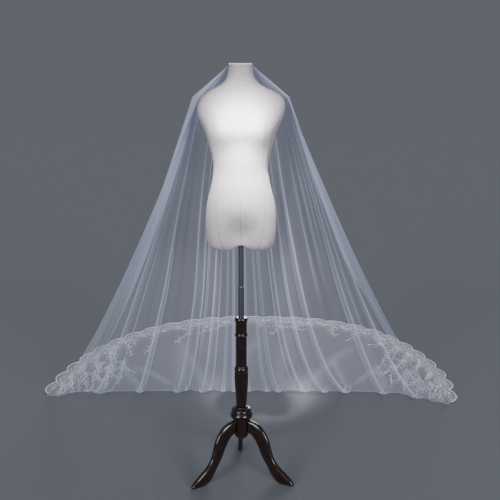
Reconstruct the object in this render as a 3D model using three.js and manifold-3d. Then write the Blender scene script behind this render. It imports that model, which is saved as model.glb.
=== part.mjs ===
// Bridal veil: one layer of tulle, gathered on a bound head and edged with scalloped lace.
// It hangs from the neck and shoulders of a cloth-covered dress form on a turned tripod stand,
// slopes back to the floor and runs on behind as a train.
// Millimetres, +Z up. The form faces -Y, its left and right are -X and +X as seen from the front.
import * as THREE from 'three';
import { mergeVertices } from 'three/addons/utils/BufferGeometryUtils.js';
import Module from 'manifold-3d';

const wasm = await Module();
wasm.setup();

// Driving sizes of the veil
const TULLE = 1.6; // modelled wall of the net
const GAP = 0.3; // between neighbouring pieces
const HEAD_HALF = 44; // half the width of the gathered head
const HEAD_BACK = 2; // back face of the binding, behind the neck's axis
const SHOULDER_HALF = 193; // the cloth leaves the form here, at the shoulder tips
const SHOULDER_HEIGHT = 1624;
const BACK_HEIGHT = 1560; // and here, at the middle of the back
const BACK_DEPTH = 104; // the form's back at that height
const BACK_CLEAR = 16; // how far the cloth stands off the back
const WRAP_START = 0.88; // share of the spread from which the side edges wrap round the shoulder tips
const WRAP_FORWARD = { left: 72, right: 52 }; // how far forward, and back in across the front
const WRAP_INWARD = { left: 30, right: 12 };
const SAG = 1.3; // how soon the falling cloth steepens: 1 is a straight slope
const LANDING_LEFT = 1112; // where the side edges reach the floor
const LANDING_RIGHT = 1129;
const LANDING_DEPTH = 865; // behind the stand's axis, at the middle
const CORNER_FORWARD_LEFT = 66; // how far the two floor corners come forward of that
const CORNER_FORWARD_RIGHT = 178;
const HEM_DEPTH = 2243; // the tulle's cut edge at the middle of the back
const HEM_LEFT = 1108; // half widths of the train
const HEM_RIGHT = 1205;
const CORNER_EDGE = 30; // short cut edge at each floor corner
const ROUND_LEFT = 2.1; // squareness of the hem's two halves
const ROUND_RIGHT = 2.8;
const TUCK_RIGHT = 65; // how far the right corner of the hem is drawn in, and over which share of its depth
const TUCK_SPAN = 0.3;

// Driving sizes of the lace
const LACE_WIDTH = 200;
const LACE_WALL = 1.2;
const SCALLOPS = 26;
const SCALLOP_STEPS = 6;
const SCALLOP_VALLEY = 8; // how far the lace passes the tulle's edge, in a valley and at a tip
const SCALLOP_TIP = 44;
const CORD_RAISE = 1.2; // the corded rim and the flower in each scallop stand this proud
const MOTIF_RAISE = 0.9;

// Driving sizes of the dress form and its stand
const NECK_TOP = 1741;
const FORM_COLUMNS = 36;
const CROTCH = 1036; // flat seat of the rod
const CROTCH_RISE = 30; // how far the middle of the underside lies above its two lobes
const CROTCH_HALF = 27;
const BUST_HALF = 74;
const BUST_SPREAD = 46;
const HOLLOW_HALF = 46;
const ROD_UPPER = 11.5;
const ROD_LOWER = 12.5;
const ROD_JOIN = 852;
const POST_TOP = 717;
const COLLAR_TOP = 318;
const HUB_RADIUS = 34;
const TURNED_SIDES = 24;
const LEG_THICK = 26;
const LEG_ROUND = 6;
const LEG_DIRECTIONS = { leg_rear: 93, leg_left: 213, leg_right: 333 };

// Each long fold of the fall. at: where it lands, as a share of the half spread, minus on the left.
// width: its half width in the same shares. depth: how far it stands to the front, minus to the back.
// reach: the share of the fall after which it has died away.
const FOLDS = [
  { at: -0.945, width: 0.045, depth: 22, reach: 1 },
  { at: -0.850, width: 0.045, depth: -18, reach: 1 },
  { at: -0.735, width: 0.050, depth: 27, reach: 1 },
  { at: -0.605, width: 0.030, depth: -12, reach: 0.8 },
  { at: -0.535, width: 0.032, depth: 26, reach: 1 },
  { at: -0.430, width: 0.036, depth: -16, reach: 0.9 },
  { at: -0.340, width: 0.034, depth: 26, reach: 1 },
  { at: -0.275, width: 0.026, depth: -20, reach: 1 },
  { at: -0.212, width: 0.030, depth: 24, reach: 1 },
  { at: -0.152, width: 0.024, depth: -16, reach: 1 },
  { at: -0.102, width: 0.022, depth: 18, reach: 1 },
  { at: -0.052, width: 0.022, depth: 16, reach: 1 },
  { at: 0.022, width: 0.022, depth: 16, reach: 1 },
  { at: 0.072, width: 0.022, depth: -16, reach: 1 },
  { at: 0.122, width: 0.024, depth: 18, reach: 1 },
  { at: 0.178, width: 0.026, depth: 22, reach: 1 },
  { at: 0.248, width: 0.030, depth: -18, reach: 1 },
  { at: 0.312, width: 0.028, depth: 24, reach: 1 },
  { at: 0.412, width: 0.034, depth: 26, reach: 1 },
  { at: 0.520, width: 0.034, depth: 26, reach: 1 },
  { at: 0.605, width: 0.032, depth: -14, reach: 0.8 },
  { at: 0.708, width: 0.034, depth: 24, reach: 1 },
  { at: 0.780, width: 0.030, depth: -16, reach: 1 },
  { at: 0.868, width: 0.042, depth: 26, reach: 1 },
  { at: 0.950, width: 0.036, depth: 18, reach: 1 },
];

// How the folds lean as they rise. floor: a share of the spread where it lands. half and top: the share
// of the slope that it stands at half way up and under the shoulders.
const LEANS = [
  { floor: -1, half: -1, top: -1 },
  { floor: -0.88, half: -0.88, top: -0.88 },
  { floor: -0.735, half: -0.775, top: -0.75 },
  { floor: -0.535, half: -0.565, top: -0.62 },
  { floor: -0.340, half: -0.325, top: -0.38 },
  { floor: -0.212, half: -0.185, top: -0.19 },
  { floor: -0.052, half: -0.062, top: -0.08 },
  { floor: 0.022, half: 0.020, top: 0.02 },
  { floor: 0.178, half: 0.125, top: 0.10 },
  { floor: 0.312, half: 0.225, top: 0.20 },
  { floor: 0.412, half: 0.315, top: 0.30 },
  { floor: 0.520, half: 0.405, top: 0.38 },
  { floor: 0.708, half: 0.735, top: 0.77 },
  { floor: 0.880, half: 0.880, top: 0.88 },
  { floor: 1, half: 1, top: 1 },
];

// The tulle is one panel, parted where the stretches of it that show differ.
const STRETCHES = [
  { name: 'veil_left_edge', from: -1, to: -0.655 },
  { name: 'veil_left_side', from: -0.655, to: -0.385 },
  { name: 'veil_back_left', from: -0.385, to: -0.015 },
  { name: 'veil_back_right', from: -0.015, to: 0.36 },
  { name: 'veil_right_side', from: 0.36, to: 0.655 },
  { name: 'veil_right_edge', from: 0.655, to: 1 },
];

// Low ridges of the train, which run back over the floor. Columns as for the folds; raise in mm.
const TRAIN_RIDGES = [
  { at: -0.66, width: 0.07, raise: 1.2 },
  { at: -0.40, width: 0.06, raise: 1.4 },
  { at: -0.18, width: 0.05, raise: 1.0 },
  { at: 0.12, width: 0.05, raise: 1.2 },
  { at: 0.36, width: 0.06, raise: 1.4 },
  { at: 0.62, width: 0.07, raise: 1.2 },
];

// Sections of the dress form, from the underside to the neck. square is the superellipse's power, bust how
// far the two fullnesses of the chest stand out, hollow how far the front is drawn in between the thighs.
const FORM_SECTIONS = [
  { height: 1006, half: 72, front: 52, back: 60, square: 2.0, bust: 0, hollow: 18, rise: 1.0 },
  { height: 1011, half: 113, front: 74, back: 90, square: 2.2, bust: 0, hollow: 24, rise: 0.8 },
  { height: 1024, half: 133, front: 89, back: 107, square: 2.3, bust: 0, hollow: 32, rise: 0.4 },
  { height: 1047, half: 141, front: 97, back: 118, square: 2.3, bust: 0, hollow: 33, rise: 0 },
  { height: 1089, half: 145, front: 101, back: 124, square: 2.3, bust: 0, hollow: 23, rise: 0 },
  { height: 1131, half: 144, front: 103, back: 121, square: 2.3, bust: 0, hollow: 10, rise: 0 },
  { height: 1172, half: 142, front: 103, back: 112, square: 2.3, bust: 0, hollow: 2, rise: 0 },
  { height: 1213, half: 135, front: 100, back: 101, square: 2.2, bust: 0, hollow: 0, rise: 0 },
  { height: 1253, half: 124, front: 94, back: 89, square: 2.2, bust: 0, hollow: 0, rise: 0 },
  { height: 1294, half: 114, front: 88, back: 79, square: 2.2, bust: 0, hollow: 0, rise: 0 },
  { height: 1334, half: 108, front: 86, back: 75, square: 2.2, bust: 0, hollow: 0, rise: 0 },
  { height: 1374, half: 113, front: 90, back: 79, square: 2.2, bust: 4, hollow: 0, rise: 0 },
  { height: 1413, half: 122, front: 97, back: 85, square: 2.2, bust: 13, hollow: 0, rise: 0 },
  { height: 1453, half: 132, front: 104, back: 92, square: 2.2, bust: 27, hollow: 0, rise: 0 },
  { height: 1492, half: 145, front: 105, back: 98, square: 2.2, bust: 30, hollow: 0, rise: 0 },
  { height: 1531, half: 164, front: 100, back: 103, square: 2.2, bust: 18, hollow: 0, rise: 0 },
  { height: 1566, half: 176, front: 88, back: 102, square: 2.2, bust: 6, hollow: 0, rise: 0 },
  { height: 1592, half: 178, front: 73, back: 95, square: 2.2, bust: 0, hollow: 0, rise: 0 },
  { height: 1610, half: 173, front: 62, back: 88, square: 2.2, bust: 0, hollow: 0, rise: 0 },
  { height: 1624, half: 163, front: 56, back: 80, square: 2.1, bust: 0, hollow: 0, rise: 0 },
  { height: 1636, half: 146, front: 51, back: 74, square: 2.0, bust: 0, hollow: 0, rise: 0 },
  { height: 1650, half: 112, front: 48, back: 68, square: 1.9, bust: 0, hollow: 0, rise: 0 },
  { height: 1666, half: 78, front: 46, back: 62, square: 1.9, bust: 0, hollow: 0, rise: 0 },
  { height: 1684, half: 58, front: 45, back: 57, square: 2.0, bust: 0, hollow: 0, rise: 0 },
  { height: 1706, half: 50, front: 44, back: 53, square: 2.0, bust: 0, hollow: 0, rise: 0 },
  { height: 1735, half: 47, front: 44, back: 49, square: 2.0, bust: 0, hollow: 0, rise: 0 },
  { height: 1741, half: 42, front: 39, back: 44, square: 2.0, bust: 0, hollow: 0, rise: 0 },
];

// Turned profile of the spindle, from its foot to its top.
const SPINDLE_PROFILE = [
  { radius: 23, height: COLLAR_TOP + GAP },
  { radius: 23.4, height: 330 },
  { radius: 25, height: 366 },
  { radius: 29.3, height: 412 },
  { radius: 30.8, height: 455 },
  { radius: 29.6, height: 478 },
  { radius: 30.4, height: 488 },
  { radius: 28, height: 496 },
  { radius: 24.2, height: 499 },
  { radius: 24.2, height: 633 },
  { radius: 27.6, height: 637 },
  { radius: 27.6, height: 643 },
  { radius: 24.4, height: 647 },
  { radius: 24.4, height: 696 },
  { radius: 27.6, height: 702 },
  { radius: 27.6, height: 711 },
  { radius: 24.5, height: POST_TOP },
];

// Turned profile of the hub: a rounded drop, the barrel that takes the legs, and a double collar.
const HUB_PROFILE = [
  { radius: 12, height: 166 },
  { radius: 22, height: 169 },
  { radius: 30, height: 179 },
  { radius: HUB_RADIUS, height: 194 },
  { radius: HUB_RADIUS, height: 263 },
  { radius: 42, height: 264 },
  { radius: 48.5, height: 271 },
  { radius: 49, height: 281 },
  { radius: 44.5, height: 290 },
  { radius: 43, height: 293 },
  { radius: 43.5, height: 301 },
  { radius: 37, height: 308 },
  { radius: 29, height: 311 },
  { radius: 26, height: COLLAR_TOP },
];

// Side view of a leg: its upper edge from the hub to the toe, and its lower edge back again.
const LEG_UPPER = [
  { out: 20, up: 258 },
  { out: 52, up: 256 },
  { out: 100, up: 232 },
  { out: 129, up: 188 },
  { out: 146, up: 130 },
  { out: 165, up: 87 },
  { out: 197, up: 59 },
  { out: 236, up: 27 },
  { out: 252, up: 6 },
];
const LEG_LOWER = [
  { out: 179, up: 0 },
  { out: 147, up: 32 },
  { out: 127, up: 66 },
  { out: 102, up: 104 },
  { out: 84, up: 146 },
  { out: 61, up: 184 },
  { out: 20, up: 204 },
];
const TOE_TIP = { out: 246, up: 0 };

const paint = (colour, roughness, metalness = 0, opacity = 1) =>
  new THREE.MeshStandardMaterial({ color: colour, roughness, metalness, opacity, transparent: opacity < 1 });
const tulleWhite = paint('#e9ebf6', 0.7, 0, 0.45);
const laceWhite = paint('#f4f4f8', 0.6);
const satinWhite = paint('#f1f1f4', 0.45);
const linen = paint('#dcd9d8', 0.9);
const steel = paint('#b9bcc2', 0.25, 1);
const mahogany = paint('#20100c', 0.22);

const model = new THREE.Group();
const add = (name, geometry, material) => {
  const mesh = new THREE.Mesh(geometry, material);
  mesh.name = name;
  model.add(mesh);
  return mesh;
};

// A closed solid from shared points and triangles, with its faces turned outwards.
function closedSolid(points, triangles) {
  let volume = 0;
  for (const [a, b, c] of triangles) {
    volume += points[a].dot(new THREE.Vector3().crossVectors(points[b], points[c]));
  }
  const faces = volume < 0 ? triangles.map(([a, b, c]) => [a, c, b]) : triangles;
  const geometry = new THREE.BufferGeometry().setFromPoints(points);
  geometry.setIndex(faces.flat());
  geometry.computeVertexNormals();
  return geometry;
}

// A wall between two grids of points with the same rows and columns.
function wall(over, under) {
  const rows = over.length;
  const columns = over[0].length;
  const points = [...over.flat(), ...under.flat()];
  const top = (r, c) => r * columns + c;
  const bottom = (r, c) => rows * columns + top(r, c);
  const triangles = [];
  const quad = (a, b, c, d) => triangles.push([a, b, c], [a, c, d]);
  for (let r = 0; r + 1 < rows; r++) {
    for (let c = 0; c + 1 < columns; c++) {
      quad(top(r, c), top(r, c + 1), top(r + 1, c + 1), top(r + 1, c));
      quad(bottom(r, c), bottom(r + 1, c), bottom(r + 1, c + 1), bottom(r, c + 1));
    }
    quad(top(r, 0), top(r + 1, 0), bottom(r + 1, 0), bottom(r, 0));
    quad(top(r, columns - 1), bottom(r, columns - 1), bottom(r + 1, columns - 1), top(r + 1, columns - 1));
  }
  for (let c = 0; c + 1 < columns; c++) {
    quad(top(0, c + 1), top(0, c), bottom(0, c), bottom(0, c + 1));
    quad(top(rows - 1, c), top(rows - 1, c + 1), bottom(rows - 1, c + 1), bottom(rows - 1, c));
  }
  return closedSolid(points, triangles);
}

// A body lofted through closed rings, with a flat fan over each end.
function loft(rings) {
  const columns = rings[0].length;
  const points = rings.flat();
  const triangles = [];
  for (let r = 0; r + 1 < rings.length; r++) {
    for (let c = 0; c < columns; c++) {
      const a = r * columns + c;
      const b = r * columns + ((c + 1) % columns);
      triangles.push([a, b, b + columns], [a, b + columns, a + columns]);
    }
  }
  for (const [ring, first] of [[rings[0], 0], [rings.at(-1), (rings.length - 1) * columns]]) {
    const middle = points.length;
    points.push(ring.reduce((sum, p) => sum.add(p), new THREE.Vector3()).divideScalar(columns));
    for (let c = 0; c < columns; c++) {
      const edge = [first + ((c + 1) % columns), first + c];
      triangles.push(first === 0 ? [middle, ...edge] : [middle, edge[1], edge[0]]);
    }
  }
  return closedSolid(points, triangles);
}

// A turned piece about +Z.
function turned(profile) {
  const outline = profile.map((p) => new THREE.Vector2(p.radius, p.height));
  const onAxis = [new THREE.Vector2(0, profile[0].height), ...outline, new THREE.Vector2(0, profile.at(-1).height)];
  return new THREE.LatheGeometry(onAxis, TURNED_SIDES).rotateX(Math.PI / 2);
}

function solidOf(geometry) {
  const bare = geometry.clone().deleteAttribute('normal').deleteAttribute('uv');
  const merged = mergeVertices(bare, 1e-3);
  const triVerts = new Uint32Array(merged.index.array);
  return new wasm.Manifold(new wasm.Mesh({ numProp: 3, vertProperties: merged.attributes.position.array, triVerts }));
}

function cut(geometry, cutter) {
  const mesh = solidOf(geometry).subtract(solidOf(cutter)).getMesh();
  const made = new THREE.BufferGeometry();
  made.setAttribute('position', new THREE.BufferAttribute(mesh.vertProperties, mesh.numProp));
  made.setIndex(new THREE.BufferAttribute(mesh.triVerts, 1));
  made.computeVertexNormals();
  return made;
}

const sideOf = (share) => (share < 0 ? -1 : 1);
const smooth = (x) => THREE.MathUtils.smoothstep(x, 0, 1);
const bump = (offset) => (Math.abs(offset) < 1 ? 0.5 + 0.5 * Math.cos(Math.PI * offset) : 0);

// The dress form: superellipse sections with two soft fullnesses at the bust and two lobes below.
function formRing({ height, half, front, back, square, bust, hollow, rise }) {
  return Array.from({ length: FORM_COLUMNS }, (_, i) => {
    const angle = (2 * Math.PI * i) / FORM_COLUMNS;
    const across = Math.cos(angle);
    const along = Math.sin(angle);
    const x = half * Math.sign(across) * Math.abs(across) ** (2 / square);
    const depth = along < 0 ? front : back;
    const facing = Math.sqrt(Math.max(0, -along));
    const fullness = bust * Math.exp(-(((Math.abs(x) - BUST_HALF) / BUST_SPREAD) ** 2)) * facing;
    const drawnIn = hollow * Math.exp(-((x / HOLLOW_HALF) ** 2)) * facing;
    const y = depth * Math.sign(along) * Math.abs(along) ** (2 / square) - fullness + drawnIn;
    const lift = rise * CROTCH_RISE * Math.exp(-((x / CROTCH_HALF) ** 2));
    return new THREE.Vector3(x, y, height + lift);
  });
}

function dressForm() {
  const seat = formRing({ height: CROTCH, half: 30, front: 26, back: 26, square: 2, bust: 0, hollow: 0, rise: 0 });
  return loft([seat, ...FORM_SECTIONS.map(formRing)]);
}

// How far across the hang line a share of the spread leaves: the sides bunch at the shoulder tips.
const bunched = (share) => sideOf(share) * (1 - (1 - Math.abs(share)) ** 2);

// The line where the cloth leaves the form, from one shoulder tip round the back to the other.
function hangPoint(share) {
  const side = share < 0 ? 'left' : 'right';
  const across = Math.abs(bunched(share));
  const round = Math.max(0, 1 - across ** 2.2) ** (1 / 2.2);
  const wrapped = smooth((Math.abs(share) - WRAP_START) / (1 - WRAP_START));
  return new THREE.Vector3(
    SHOULDER_HALF * bunched(share) - sideOf(share) * WRAP_INWARD[side] * wrapped ** 2,
    BACK_CLEAR + BACK_DEPTH * round - WRAP_FORWARD[side] * wrapped,
    THREE.MathUtils.lerp(BACK_HEIGHT, SHOULDER_HEIGHT, across ** 3) - 0.4 * WRAP_INWARD[side] * wrapped,
  );
}

// The line where the falling cloth meets the floor.
function landingPoint(share) {
  const left = share < 0;
  const forward = (left ? CORNER_FORWARD_LEFT : CORNER_FORWARD_RIGHT) * Math.abs(share) ** 6;
  return new THREE.Vector3((left ? LANDING_LEFT : LANDING_RIGHT) * share, LANDING_DEPTH - forward, TULLE / 2);
}

// The tulle's cut edge behind, two superellipse quarters that meet at the middle of the back.
function hemPoint(share) {
  const left = share < 0;
  const power = 2 / (left ? ROUND_LEFT : ROUND_RIGHT);
  const turn = (Math.abs(share) * Math.PI) / 2;
  const start = landingPoint(left ? -1 : 1).y + CORNER_EDGE;
  const back = Math.max(0, Math.cos(turn)) ** power;
  const tuck = left ? 0 : TUCK_RIGHT * Math.max(0, 1 - back / TUCK_SPAN) ** 2;
  return new THREE.Vector3(
    sideOf(share) * (left ? HEM_LEFT : HEM_RIGHT) * Math.sin(turn) ** power - tuck,
    start + (HEM_DEPTH - start) * back,
    0,
  );
}

// Sections down the veil. Those of the crown run from the bound head over the neck's rim to the hang
// line; those of the fall are shares of the way from the hang line to the floor.
const NECK_SPREAD = Math.PI / 2;
const neckArc = (share, radius, height) => {
  const turn = NECK_SPREAD * (0.5 * share + 0.5 * bunched(share));
  return new THREE.Vector3(radius * Math.sin(turn), HEAD_BACK + radius * Math.cos(turn), height);
};
const CROWN_SECTIONS = [
  { folded: 0.008, place: (share) => new THREE.Vector3(HEAD_HALF * share, HEAD_BACK + GAP, NECK_TOP + 3.2) },
  { folded: 0.03, place: (share) => neckArc(share, 46, NECK_TOP + 2.4) },
  { folded: 0.05, place: (share) => neckArc(share, 53, NECK_TOP - 7) },
];
const FALL_SHARES = [0, 0.03, 0.09, 0.18, 0.3, 0.45, 0.62, 0.8, 0.93, 1];
const fallPoint = (share, way) => {
  const from = hangPoint(share);
  const to = landingPoint(share);
  const point = from.clone().lerp(to, way);
  point.z = to.z + (from.z - to.z) * (1 - way) ** SAG;
  return point;
};
function leaned(share, way) {
  const next = Math.max(1, LEANS.findIndex(({ floor }) => floor >= share));
  const low = LEANS[next - 1];
  const high = LEANS[next];
  const along = (share - low.floor) / (high.floor - low.floor);
  const half = THREE.MathUtils.lerp(low.half, high.half, along);
  const top = THREE.MathUtils.lerp(low.top, high.top, along);
  const risen = 1 - Math.max(0, (way - 0.4) / 0.6) ** 1.6;
  return share + (half - share) * risen + (top - half) * (1 - smooth((way - 0.1) / 0.4));
}
const SECTIONS = [
  ...CROWN_SECTIONS.map(({ folded, place }) => ({ folded, place: (share) => place(leaned(share, 0)), way: 0 })),
  ...FALL_SHARES.map((way) => ({
    folded: 0.12 + 0.88 * way ** 0.8,
    place: (share) => fallPoint(leaned(share, way), way),
    way,
  })),
];

// How far the folds push the cloth to the front at a share of the spread and of the fall.
function foldDepth(share, way) {
  return FOLDS.reduce((sum, { at, width, depth, reach }) => {
    const fade = reach < 1 ? 1 - smooth((way - reach + 0.35) / 0.35) : 1;
    return sum + depth * fade * bump((share - at) / width);
  }, 0);
}

// The level direction to the front, square to a section, and a point of the folded cloth.
const STEP = 1e-4;
function frontOf(share, section) {
  const run = section.place(Math.min(1, share + STEP)).sub(section.place(Math.max(-1, share - STEP)));
  return new THREE.Vector3(run.y, -run.x, 0).normalize();
}
function veilPoint(share, section) {
  const pushed = section.folded * foldDepth(share, section.way);
  return section.place(share).addScaledVector(frontOf(share, section), pushed);
}

// Columns across the veil: five to each fold, the parting lines, and fillers over plain stretches.
const COLUMN_LEAST = 0.007;
const COLUMN_MOST = 0.045;
function veilColumns() {
  const partings = [...new Set(STRETCHES.flatMap(({ from, to }) => [from, to]))];
  const wanted = FOLDS.flatMap(({ at, width }) => [-1, -0.45, 0, 0.45, 1].map((k) => at + k * width));
  const columns = [...partings];
  for (const share of wanted) {
    if (Math.abs(share) < 1 && columns.every((other) => Math.abs(other - share) > COLUMN_LEAST)) columns.push(share);
  }
  columns.sort((a, b) => a - b);
  return columns.flatMap((share, i) => {
    const room = (columns[i + 1] ?? share) - share;
    const fillers = Math.floor(room / COLUMN_MOST);
    return Array.from({ length: fillers + 1 }, (_, k) => share + (room * k) / (fillers + 1));
  });
}

const columns = veilColumns();
const cloth = SECTIONS.map((section) => columns.map((share) => veilPoint(share, section)));
const lastRow = cloth.length - 1;

// The direction across the cloth at a grid point, towards its back. It ends upright on the floor.
function clothNormal(row, column) {
  if (row === lastRow) return new THREE.Vector3(0, 0, 1);
  const across = cloth[row][Math.min(column + 1, columns.length - 1)].clone().sub(cloth[row][Math.max(column - 1, 0)]);
  const down = cloth[row + 1][column].clone().sub(cloth[Math.max(row - 1, 0)][column]);
  return across.cross(down).normalize();
}

// One stretch of the hanging cloth, drawn in at its partings by half the seam gap.
function veilStretch({ from, to }) {
  const first = columns.indexOf(from);
  const last = columns.indexOf(to);
  const side = (sign) =>
    cloth.map((row, r) =>
      row.slice(first, last + 1).map((point, i) => {
        const column = first + i;
        const moved = point.clone().addScaledVector(clothNormal(r, column), (sign * TULLE) / 2);
        const inwards = column === first ? 1 : column === last ? -1 : 0;
        const next = row[column + inwards];
        const drawn = Math.abs(columns[column]) < 1 ? GAP / 2 : 0;
        return moved.addScaledVector(next.clone().sub(point).normalize(), inwards ? drawn : 0);
      }),
    );
  return wall(side(1), side(-1));
}

// The train: from the landing line, where it takes up the folds, back to the cut edge.
const TRAIN_SHARES = [0, 0.1, 0.4, 0.75, 1];
const TRAIN_BACK = 1.6 * GAP; // keeps the seam open where it runs aslant along a fold
const laceShare = (share) => {
  const length = hemPoint(share).distanceTo(landingPoint(share));
  return Math.min(0.75, LACE_WIDTH / length);
};
function trainPoint(share, way) {
  const wave = foldDepth(share, 1) * (1 - smooth(way * 3));
  const point = landingPoint(share).lerp(hemPoint(share), way);
  return point.addScaledVector(frontOf(share, SECTIONS.at(-1)), wave - TRAIN_BACK).setZ(0);
}
function train() {
  const ridge = (share, way) =>
    TRAIN_RIDGES.reduce((sum, { at, width, raise }) => sum + raise * bump((share - at) / width), 0) * Math.sin(Math.PI * way);
  const level = (height) =>
    [...TRAIN_SHARES.map((k) => (share) => k * (1 - laceShare(share))), () => 1].map((wayOf, row) =>
      columns.map((share) => {
        const under = TRAIN_SHARES[row] ?? 1;
        const raised = height > 0 ? ridge(share, under) : 0;
        return trainPoint(share, wayOf(share)).setZ(height + raised);
      }),
    );
  return wall(level(TULLE), level(0));
}

// Shares of the spread at equal steps along the hem, found on a fine walk round it.
function hemShares(count) {
  const WALK = 4000;
  const walk = Array.from({ length: WALK + 1 }, (_, i) => hemPoint((2 * i) / WALK - 1));
  const lengths = [0];
  for (let i = 1; i <= WALK; i++) lengths.push(lengths[i - 1] + walk[i].distanceTo(walk[i - 1]));
  return Array.from({ length: count + 1 }, (_, k) => {
    const target = (lengths[WALK] * k) / count;
    const i = Math.min(WALK - 1, lengths.findIndex((_, j) => (lengths[j + 1] ?? Infinity) >= target));
    return (2 * (i + (target - lengths[i]) / (lengths[i + 1] - lengths[i]))) / WALK - 1;
  });
}

// The lace border lies on the train and its scallops pass the cut edge.
// Each scallop has a raised flower at its middle and a corded rim.
const LACE_STRETCHES = [
  { name: 'lace_left', from: 0, to: 8 },
  { name: 'lace_back', from: 8, to: 17 },
  { name: 'lace_right', from: 17, to: SCALLOPS },
];
const LACE_SEAT = TULLE + GAP;
const laceShares = hemShares(SCALLOPS * SCALLOP_STEPS);
function laceRow(step) {
  const share = THREE.MathUtils.clamp(laceShares[step], -1, 1);
  const edge = trainPoint(share, 1);
  const before = trainPoint(laceShares[Math.max(0, step - 1)], 1);
  const after = trainPoint(laceShares[Math.min(laceShares.length - 1, step + 1)], 1);
  const run = after.sub(before).normalize();
  const out = new THREE.Vector3(-run.y, run.x, 0);
  const inner = trainPoint(share, 1 - laceShare(share) * 0.98);
  const phase = (step % SCALLOP_STEPS) / SCALLOP_STEPS;
  const round = Math.sin(Math.PI * phase);
  const tip = THREE.MathUtils.lerp(SCALLOP_VALLEY, SCALLOP_TIP, round ** 0.7);
  const flower = MOTIF_RAISE * round ** 2;
  const at = (point, raise) => ({ point, under: LACE_SEAT, over: LACE_SEAT + LACE_WALL + raise });
  return [
    at(inner, 0),
    at(inner.clone().lerp(edge, 0.62), flower),
    at(edge, 0),
    at(edge.clone().addScaledVector(out, tip), CORD_RAISE),
  ];
}
function lace({ from, to }) {
  const steps = Array.from({ length: (to - from) * SCALLOP_STEPS + 1 }, (_, i) => from * SCALLOP_STEPS + i);
  const rows = steps.map(laceRow);
  const drawIn = (i) => {
    if (i === 0 && from > 0) return 1;
    return i === steps.length - 1 && to < SCALLOPS ? -1 : 0;
  };
  const side = (height) =>
    rows.map((row, i) =>
      row.map((place, k) => {
        const inwards = drawIn(i);
        const next = rows[i + inwards][k].point.clone().sub(place.point).normalize();
        return place.point.clone().addScaledVector(next, inwards ? GAP / 2 : 0).setZ(place[height]);
      }),
    );
  return wall(side('over'), side('under'));
}

// The bound head: a flat rolled strip that holds the gathers, laid across the neck.
function headBinding() {
  const width = 12;
  const height = 6;
  const round = 2.2;
  const outline = new THREE.Shape();
  outline.moveTo(round, 0);
  outline.lineTo(width - round, 0);
  outline.absarc(width - round, round, round, -Math.PI / 2, 0);
  outline.absarc(width - round, height - round, round, 0, Math.PI / 2);
  outline.absarc(round, height - round, round, Math.PI / 2, Math.PI);
  outline.absarc(round, round, round, Math.PI, Math.PI * 1.5);
  const strip = new THREE.ExtrudeGeometry(outline, { depth: 2 * HEAD_HALF + 4, bevelEnabled: false, curveSegments: 3 });
  strip.rotateX(Math.PI / 2).rotateZ(Math.PI / 2);
  strip.translate(-HEAD_HALF - 2, HEAD_BACK - width - TULLE / 2, NECK_TOP + GAP);
  return strip;
}

function leg(direction) {
  const upper = new THREE.SplineCurve(LEG_UPPER.map((p) => new THREE.Vector2(p.out, p.up)));
  const lower = new THREE.SplineCurve(LEG_LOWER.map((p) => new THREE.Vector2(p.out, p.up)));
  const outline = new THREE.Shape([
    ...upper.getPoints(16),
    new THREE.Vector2(TOE_TIP.out, TOE_TIP.up),
    ...lower.getPoints(12),
  ]);
  const plate = new THREE.ExtrudeGeometry(outline, {
    depth: LEG_THICK - 2 * LEG_ROUND,
    bevelThickness: LEG_ROUND,
    bevelSize: LEG_ROUND,
    bevelOffset: -LEG_ROUND,
    bevelSegments: 2,
  });
  plate.translate(0, 0, LEG_ROUND - LEG_THICK / 2);
  plate.rotateX(Math.PI / 2).rotateZ(THREE.MathUtils.degToRad(direction));
  const barrel = new THREE.CylinderGeometry(HUB_RADIUS + GAP, HUB_RADIUS + GAP, 2 * COLLAR_TOP, TURNED_SIDES);
  return cut(plate, barrel.rotateX(Math.PI / 2));
}

function rod(radius, from, to) {
  const tube = new THREE.CylinderGeometry(radius, radius, to - from, TURNED_SIDES);
  return tube.rotateX(Math.PI / 2).translate(0, 0, (from + to) / 2);
}

add('stand_hub', turned(HUB_PROFILE), mahogany);
for (const [name, direction] of Object.entries(LEG_DIRECTIONS)) add(name, leg(direction), mahogany);
add('stand_spindle', turned(SPINDLE_PROFILE), mahogany);
add('rod_lower', rod(ROD_LOWER, POST_TOP + GAP, ROD_JOIN), steel);
add('rod_upper', rod(ROD_UPPER, ROD_JOIN + GAP, CROTCH - GAP), steel);
add('dress_form', dressForm(), linen);
add('veil_head_binding', headBinding(), satinWhite);
for (const stretch of STRETCHES) add(stretch.name, veilStretch(stretch), tulleWhite);
add('veil_train', train(), tulleWhite);
for (const stretch of LACE_STRETCHES) add(stretch.name, lace(stretch), laceWhite);

// The part's origin is the middle of its footprint, on the floor.
const extent = new THREE.Box3().setFromObject(model, true);
const middle = extent.getCenter(new THREE.Vector3());
model.position.set(-middle.x, -middle.y, -extent.min.z);
const veilOnForm = new THREE.Group();
veilOnForm.add(model);

export default veilOnForm;
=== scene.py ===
import math

import bpy
import numpy as np
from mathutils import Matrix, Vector
from mathutils.bvhtree import BVHTree


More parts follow.
